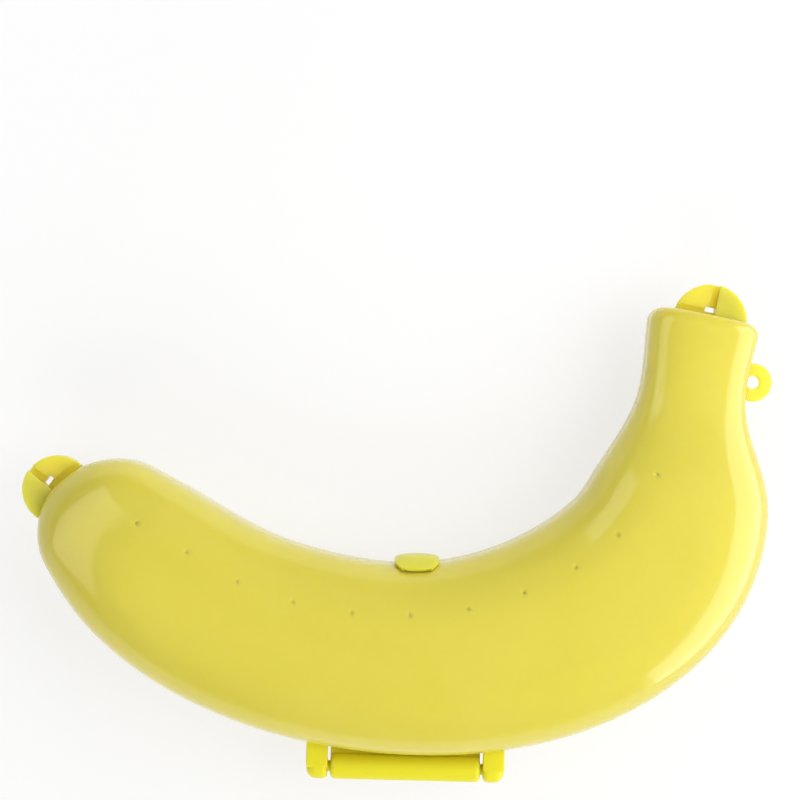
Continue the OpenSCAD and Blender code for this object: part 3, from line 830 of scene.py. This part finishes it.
def tongue_path():
    """Side of the tongue's face from its free end up to its root: off the root, height"""
    size = case_sizes()
    knee = Vector((size.latch_stand, -size.latch_knee))
    foot = Vector((size.latch_stand, -size.latch_reach))
    top = Vector((0.0, size.latch_root))
    into = knee + (foot - knee).normalized() * TONGUE_BEND
    out = knee + (top - knee).normalized() * TONGUE_BEND
    face_steps, bend_steps, lean_steps = 14, 8, 10
    path = [foot.lerp(into, (k / face_steps) ** 2) for k in range(face_steps)]
    for k in range(bend_steps + 1):
        t = k / bend_steps
        path.append(into.lerp(knee, t).lerp(knee.lerp(out, t), t))
    return path + [out.lerp(top, k / lean_steps) for k in range(1, lean_steps + 1)]


def tongue_sheet():
    """Outer face of the tongue in the latch's frame, bowed, with rounded lower corners and a rounded root"""
    size = case_sizes()
    path, root_steps, columns = tongue_path(), 5, 28
    down = len(path) - 1 + root_steps
    bm = bmesh.new()
    grid = bmesh.ops.create_grid(bm, x_segments=columns, y_segments=down, size=0.5)
    for vert in grid["verts"]:
        across = vert.co.x * 2
        k = round((vert.co.y + 0.5) * down)
        off, height = path[min(k, len(path) - 1)]
        room = size.latch_bow ** 2 - (off - size.latch_bow + size.latch_root) ** 2
        half = min(size.latch_width / 2, math.sqrt(room))
        short = max(size.latch_corner - size.latch_reach - height, 0.0)
        half -= size.latch_corner - math.sqrt(size.latch_corner ** 2 - short ** 2)
        if k >= len(path):
            lean = math.pi / 2 * (k - len(path) + 1) / root_steps * (1 - across * across)
            off, height = -size.latch_root * math.sin(lean), size.latch_root * math.cos(lean)
        off -= size.latch_crown * across ** 4 * max(off, 0.0) / size.latch_stand
        vert.co = Vector((half * across, off, height))
    bmesh.ops.remove_doubles(bm, verts=bm.verts, dist=1e-6)
    bmesh.ops.recalc_face_normals(bm, faces=bm.faces)
    face = max(bm.faces, key=lambda f: f.calc_center_median().y)
    if face.normal.y < 0:
        bmesh.ops.reverse_faces(bm, faces=bm.faces)
    return bm


class BANANACASE_OT_latch(bpy.types.Operator):
    """Model the latch tongue with its bead, and finish the catch"""

    bl_idname = "bananacase.latch"
    bl_label = "Latch"

    def execute(self, context):
        size = case_sizes()
        bm = tongue_sheet()
        bmesh.ops.solidify(bm, geom=bm.faces[:], thickness=size.latch_thickness)
        bmesh.ops.recalc_face_normals(bm, faces=bm.faces)
        round_edges(bm, sharp_edges(bm, 60), TONGUE_ROUND, 3)
        half, back, foot = size.bead_width / 2, size.latch_stand - size.latch_thickness, -size.latch_reach
        low = (-half, back - size.bead_depth, foot)
        high = (half, back + BEAD_SINK, foot + size.bead_height)
        take_in(bm, brick(low, high, Matrix.Identity(4), BEAD_ROUND))
        move(bm, latch_frame())
        set_down(bm, "latch_tongue", "latch", fitting_plastic())
        finish_solid("latch_catch", fitting_plastic())
        return {"FINISHED"}


def floor_paper():
    """Matt white paper with a faint tooth"""
    material = bpy.data.materials.new("floor_paper")
    material.use_nodes = True
    tree = material.node_tree
    shader = tree.nodes["Principled BSDF"]
    link = tree.links.new
    coord = wire(tree, "ShaderNodeTexCoord", (-900, 0))
    tooth = noise(tree, coord, (-700, 0), {"Scale": 900.0})
    grain(tree, shader, tooth, (-450, -150), strength=0.04)
    colour = (*case_colours().floor, 1.0)
    fill(shader, {"Base Color": colour, "Roughness": 0.9, "Specular IOR Level": 0.1})

    # White of its own for the camera and for reflections, mixed in so that the shadow stays
    glow = wire(tree, "ShaderNodeEmission", (0, -350))
    rays = wire(tree, "ShaderNodeLightPath", (-450, 500))
    seen = wire(tree, "ShaderNodeMath", (-250, 400), operation="MAXIMUM")
    link(rays.outputs["Is Camera Ray"], seen.inputs[0])
    link(rays.outputs["Is Glossy Ray"], seen.inputs[1])
    looked_at = wire(tree, "ShaderNodeMath", (-100, 400), operation="MAXIMUM")
    link(seen.outputs["Value"], looked_at.inputs[0])
    link(rays.outputs["Is Transmission Ray"], looked_at.inputs[1])
    glow_share = {1: 0.7}
    share = wire(tree, "ShaderNodeMath", (50, 400), glow_share, operation="MULTIPLY")
    link(looked_at.outputs["Value"], share.inputs[0])
    blend = wire(tree, "ShaderNodeMixShader", (300, 100))
    link(share.outputs["Value"], blend.inputs["Fac"])
    link(shader.outputs["BSDF"], blend.inputs[1])
    link(glow.outputs["Emission"], blend.inputs[2])
    link(blend.outputs["Shader"], tree.nodes["Material Output"].inputs["Surface"])
    return material


def softbox(name, place, aim, width, height, glow, mirrored=True, lights=True, roll=0.0):
    """Soft rectangular lamp aimed at a point, which shows in the gloss, lights the surface, or does both"""
    lamp = bpy.data.lights.new(name, "AREA")
    lamp.shape = "RECTANGLE"
    lamp.size, lamp.size_y = width, height
    lamp.energy = glow * math.pi * width * height
    stand = bpy.data.objects.new(name, lamp)
    stand.location = place
    facing = (Vector(aim) - Vector(place)).to_track_quat("-Z", "Y").to_matrix()
    stand.rotation_euler = (facing @ Matrix.Rotation(roll, 3, "Z")).to_euler()
    stand.visible_camera = False
    stand.visible_glossy = mirrored
    stand.visible_diffuse = lights
    bpy.context.scene.collection.objects.link(stand)


class BANANACASE_OT_stage(bpy.types.Operator):
    """Set the floor, the light and the camera"""

    bl_idname = "bananacase.stage"
    bl_label = "Stage"

    def execute(self, context):
        scene = context.scene
        scene.view_settings.view_transform = "Standard"

        bm = bmesh.new()
        bmesh.ops.create_grid(bm, x_segments=1, y_segments=1, size=3.0)
        mesh = bpy.data.meshes.new("floor")
        bm.to_mesh(mesh)
        bm.free()
        mesh.materials.append(floor_paper())
        floor = bpy.data.objects.new("floor", mesh)
        scene.collection.objects.link(floor)

        world = bpy.data.worlds.new("studio")
        world.use_nodes = True
        fill(world.node_tree.nodes["Background"], {"Color": (1.0, 1.0, 1.0, 1.0), "Strength": 0.23})
        scene.world = world

        # Place, aim, width, height and glow of each lamp: two that only show in the gloss, then the fills
        left = ((-0.28, 0.064, 0.181), (-0.083, 0.0, 0.041), 0.48, 0.187)
        softbox("window_left", *left, 1.9, lights=False, roll=-0.3)
        softbox("low_right", (0.2, -0.03, 0.06), (0.09, -0.03, 0.06), 0.36, 0.12, 3.4, lights=False)
        softbox("left_fill", *left, 1.15, mirrored=False)
        softbox("right_fill", (0.55, -0.02, 0.16), (0.09, 0.0, 0.03), 0.5, 0.25, 0.7, mirrored=False)
        softbox("sky_right", (0.38, 0.06, 0.42), (0.05, 0.0, 0.0), 0.45, 0.45, 2.5, mirrored=False)
        softbox("front_fill", (0.0, -0.6, 0.45), (0.0, 0.0, 0.02), 0.8, 0.3, 3.8, mirrored=False)
        softbox("back_fill", (0.2, 0.6, 0.45), (0.05, 0.0, 0.02), 0.8, 0.3, 2.6, mirrored=False)
        softbox("overhead", (0.3, 0.03, 0.7), (0.05, 0.0, 0.0), 0.4, 0.4, 0.9, mirrored=False)

        lens = bpy.data.cameras.new("camera")
        lens.sensor_width = SENSOR_WIDTH
        lens.lens = SENSOR_WIDTH * CAMERA_DISTANCE / VIEW_WIDTH
        lens.clip_end = 20.0
        camera = bpy.data.objects.new("camera", lens)
        camera.location = (0.0003, 0.03602, 0.6225)
        camera.rotation_euler = (0.0, 0.0, math.radians(1.476))
        scene.collection.objects.link(camera)
        scene.camera = camera
        return {"FINISHED"}


class BANANACASE_PT_panel(bpy.types.Panel):
    """Steps that model the case"""

    bl_idname = "BANANACASE_PT_panel"
    bl_label = "Banana Case"
    bl_space_type = "VIEW_3D"
    bl_region_type = "UI"
    bl_category = "Banana Case"

    def draw(self, context):
        column = self.layout.column(align=True)
        for step in STEPS:
            column.operator(step.bl_idname)
        for group in (context.scene.banana_case_sizes, context.scene.banana_case_colours):
            box = self.layout.box().column(align=True)
            for key in group.__annotations__:
                box.prop(group, key)


STEPS = (
    BANANACASE_OT_shells, BANANACASE_OT_lip, BANANACASE_OT_hinge, BANANACASE_OT_tabs, BANANACASE_OT_ring,
    BANANACASE_OT_latch, BANANACASE_OT_stage,
)
CLASSES = (CaseSizes, CaseColours, *STEPS, BANANACASE_PT_panel)


def register():
    for made in CLASSES:
        bpy.utils.register_class(made)
    bpy.types.Scene.banana_case_sizes = PointerProperty(type=CaseSizes)
    bpy.types.Scene.banana_case_colours = PointerProperty(type=CaseColours)


def unregister():
    del bpy.types.Scene.banana_case_colours
    del bpy.types.Scene.banana_case_sizes
    for made in reversed(CLASSES):
        bpy.utils.unregister_class(made)


def main():
    register()
    bpy.ops.bananacase.shells()
    bpy.ops.bananacase.lip()
    bpy.ops.bananacase.hinge()
    bpy.ops.bananacase.tabs()
    bpy.ops.bananacase.ring()
    bpy.ops.bananacase.latch()
    bpy.ops.bananacase.stage()
    bpy.context.view_layer.update()


if __name__ == "__main__":
    main()
